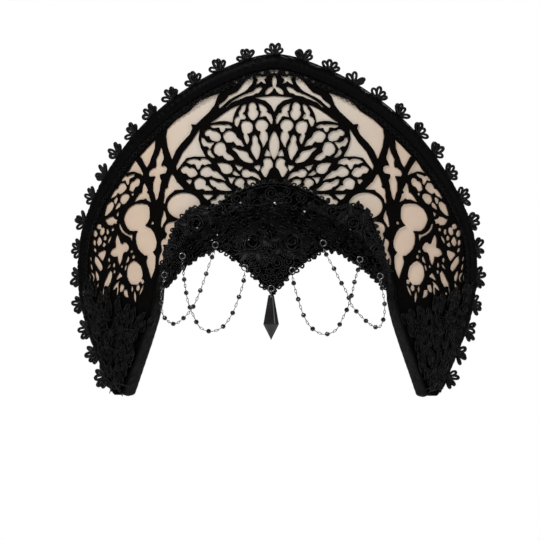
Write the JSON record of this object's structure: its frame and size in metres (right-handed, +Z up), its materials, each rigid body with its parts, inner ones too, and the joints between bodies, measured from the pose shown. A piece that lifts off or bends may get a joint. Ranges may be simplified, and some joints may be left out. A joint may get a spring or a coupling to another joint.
{
  "type": "kokoshnik headdress",
  "caption": "Tall Gothic kokoshnik: nude crescent board under black cathedral tracery, padded picot rim, corded-lace front, bead swags and a swinging faceted drop.",
  "frame": {"origin": "middle of the headband's underside, where the headdress sits on top of the head", "axes": "+Z up, -Y the wearer's front, +X the wearer's left"},
  "size_m": [0.3456, 0.1618, 0.2893],
  "materials": {
    "nude_satin": "soft satin weave",
    "black_felt": "matt cut felt with browned edges",
    "black_satin": "ruched satin",
    "black_lace": "corded lace",
    "jet_beads": "polished",
    "dark_steel": "polished wire",
    "black_crystal": "faceted and polished"
  },
  "bodies": {
    "headdress": {"board": "nude_satin", "tracery": "black_felt", "padded_rim": "black_satin", "picot_loops": "black_satin", "headband": "black_satin", "front_lace": "black_lace", "tip_lace_right": "black_lace", "tip_lace_left": "black_lace", "swag_right_inner": "jet_beads", "swag_right_inner_ring_a": "dark_steel", "swag_right_inner_ring_b": "dark_steel", "swag_right_outer": "jet_beads", "swag_right_outer_ring_a": "dark_steel", "swag_right_outer_ring_b": "dark_steel", "swag_left_inner": "jet_beads", "swag_left_inner_ring_a": "dark_steel", "swag_left_inner_ring_b": "dark_steel", "swag_left_outer": "jet_beads", "swag_left_outer_ring_a": "dark_steel", "swag_left_outer_ring_b": "dark_steel", "tip_ring": "dark_steel"},
    "bail": {"bail": "dark_steel"},
    "drop": {"drop": "black_crystal"}
  },
  "joints": [
    {"name": "bail_swing", "type": "hinge", "parent": "headdress", "child": "bail", "pos_m": [0, -0.06966, -0.0598], "axis": [-1, 0, 0], "range_deg": [-5, 75]},
    {"name": "drop_swing", "type": "hinge", "parent": "bail", "child": "drop", "pos_m": [0, -0.06966, -0.0647], "axis": [0, 1, 0], "range_deg": [-40, 40]}
  ]
}
